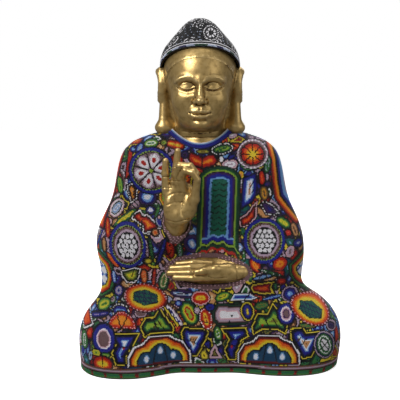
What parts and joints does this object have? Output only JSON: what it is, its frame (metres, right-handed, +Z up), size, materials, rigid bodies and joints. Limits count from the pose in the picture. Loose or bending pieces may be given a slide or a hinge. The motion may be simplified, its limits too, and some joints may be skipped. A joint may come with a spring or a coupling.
{
  "type": "beaded seated figure",
  "caption": "Seated robed figure with a raised hand, hollow cast, its robe and hair covered in patterned glass seed beads set in wax, on a flat felted base.",
  "frame": {"origin": "centre of the bounding box in plan, at the resting face under the felt", "axes": "+Z up along the figure's height, the figure faces -Y, and its own left side is +X"},
  "size_m": [0.4633, 0.2615, 0.6],
  "materials": {
    "back_beads": "opaque glass seed beads, glossy",
    "board": "birch plywood, unfinished",
    "felt": "green wool felt",
    "screws": "zinc plated steel",
    "chest_panel_beads": "opaque glass seed beads, glossy",
    "hair_beadwork": "opaque glass seed beads, glossy",
    "hair_brim_bands": "opaque glass seed beads, glossy",
    "wax": "dark beeswax",
    "gold_paint": "cast resin sprayed with satin gold paint",
    "hem_band_lower_beads": "opaque glass seed beads, glossy",
    "hem_band_upper_beads": "opaque glass seed beads, glossy",
    "lap_cuff_beads": "opaque glass seed beads, glossy",
    "left_elbow_medallion_beads": "opaque glass seed beads, glossy",
    "left_knee_fan_beads": "opaque glass seed beads, glossy",
    "left_lap_oval_beads": "opaque glass seed beads, glossy",
    "left_shoulder_flower_beads": "opaque glass seed beads, glossy",
    "left_sleeve_beads": "opaque glass seed beads, glossy",
    "leg_front_beads": "opaque glass seed beads, glossy",
    "neckline_beads": "opaque glass seed beads, glossy",
    "right_elbow_medallion_beads": "opaque glass seed beads, glossy",
    "right_knee_fan_beads": "opaque glass seed beads, glossy",
    "right_lap_oval_beads": "opaque glass seed beads, glossy",
    "right_shoulder_flower_beads": "opaque glass seed beads, glossy",
    "right_sleeve_beads": "opaque glass seed beads, glossy",
    "torso_front_beads": "opaque glass seed beads, glossy",
    "wrist_cuff_beads": "opaque glass seed beads, glossy",
    "dowel": "beech dowel"
  },
  "bodies": {
    "root": {"back_beads": "back_beads", "base_board": "board", "base_felt": "felt", "base_screws": "screws", "chest_panel_beads": "chest_panel_beads", "hair_beadwork": "hair_beadwork", "hair_brim_bands": "hair_brim_bands", "hair_wax": "wax", "head_casting": "gold_paint", "hem_band_lower_beads": "hem_band_lower_beads", "hem_band_upper_beads": "hem_band_upper_beads", "lap_cuff_beads": "lap_cuff_beads", "left_elbow_medallion_beads": "left_elbow_medallion_beads", "left_hand_casting": "gold_paint", "left_knee_fan_beads": "left_knee_fan_beads", "left_lap_oval_beads": "left_lap_oval_beads", "left_shoulder_flower_beads": "left_shoulder_flower_beads", "left_sleeve_beads": "left_sleeve_beads", "leg_front_beads": "leg_front_beads", "neckline_beads": "neckline_beads", "right_elbow_medallion_beads": "right_elbow_medallion_beads", "right_hand_casting": "gold_paint", "right_knee_fan_beads": "right_knee_fan_beads", "right_lap_oval_beads": "right_lap_oval_beads", "right_shoulder_flower_beads": "right_shoulder_flower_beads", "right_sleeve_beads": "right_sleeve_beads", "robe_casting": "gold_paint", "robe_wax": "wax", "torso_front_beads": "torso_front_beads", "wrist_cuff_beads": "wrist_cuff_beads", "wrist_dowel": "dowel"}
  },
  "joints": []
}
